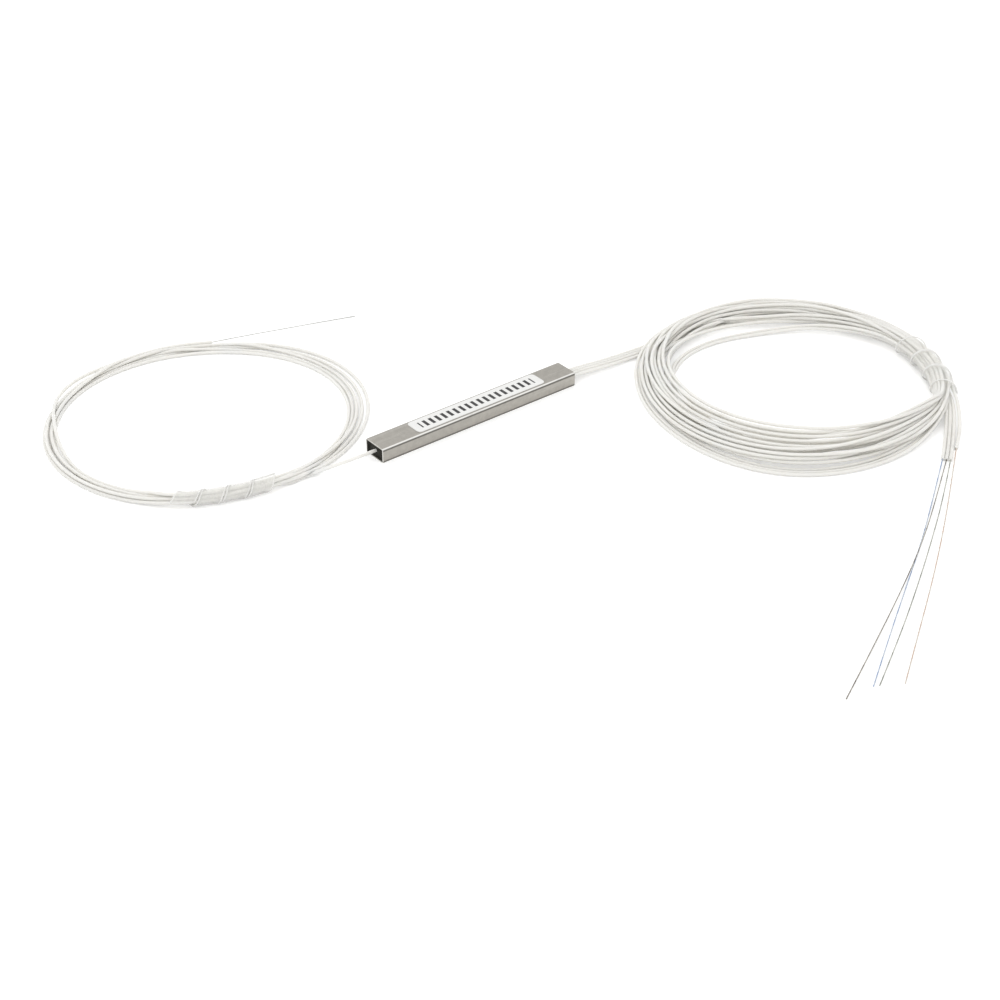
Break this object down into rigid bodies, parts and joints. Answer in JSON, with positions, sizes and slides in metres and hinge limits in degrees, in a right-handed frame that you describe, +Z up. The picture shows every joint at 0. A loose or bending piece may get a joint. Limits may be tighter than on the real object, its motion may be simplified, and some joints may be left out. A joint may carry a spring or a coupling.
{
  "type": "plc fibre splitter",
  "caption": "Optical fibre splitter in a slim rectangular steel tube, with coiled loose tubing and bare fibre ends on both sides.",
  "frame": {"origin": "centre of the steel tube's underside", "axes": "+X along the steel tube from its input end to its output end, +Z up, +Y across the tube"},
  "size_m": [0.2054, 0.2171, 0.0068],
  "materials": {
    "steel": "satin stainless steel, lightly brushed along its length",
    "label": "white paper-like film, smooth matt",
    "potting": "black potting silicone, dull",
    "gel": "soft translucent silicone gel",
    "chip": "polished silica on silicon, dark",
    "array_glass": "clear ground glass",
    "epoxy": "clear yellowish cured epoxy",
    "loose_tube": "white translucent loose tubing, smooth",
    "wrap": "clear spiral wrap",
    "fibre_natural": "coated fibre, natural",
    "fibre_blue": "coated fibre, blue",
    "fibre_brown": "coated fibre, dark brown",
    "fibre_green": "coated fibre, grey green",
    "fibre_orange": "coated fibre, orange"
  },
  "bodies": {
    "root": {"steel_tube": "steel", "label": "label", "input_end_plug": "potting", "output_end_plug": "potting", "gel_bed": "gel", "waveguide_chip": "chip", "input_inner_fibre": "fibre_natural", "output_inner_fibre_1": "fibre_blue", "output_bare_fibre_1": "fibre_blue", "output_lead_1": "loose_tube", "output_tail_1": "loose_tube", "output_inner_fibre_2": "fibre_brown", "output_bare_fibre_2": "fibre_brown", "output_lead_2": "loose_tube", "output_tail_2": "loose_tube", "output_inner_fibre_3": "fibre_green", "output_bare_fibre_3": "fibre_green", "output_lead_3": "loose_tube", "output_tail_3": "loose_tube", "output_inner_fibre_4": "fibre_orange", "output_bare_fibre_4": "fibre_orange", "output_lead_4": "loose_tube", "output_tail_4": "loose_tube", "input_chip_lid": "array_glass", "input_array_base": "array_glass", "input_array_lid": "array_glass", "input_strain_bead": "epoxy", "input_coil": "loose_tube", "input_coil_wrap": "wrap", "output_chip_lid": "array_glass", "output_array_base": "array_glass", "output_array_lid": "array_glass", "output_strain_bead": "epoxy", "output_coil": "loose_tube", "output_coil_wrap": "wrap", "input_lead": "loose_tube", "input_bare_fibre": "fibre_natural"}
  },
  "joints": []
}
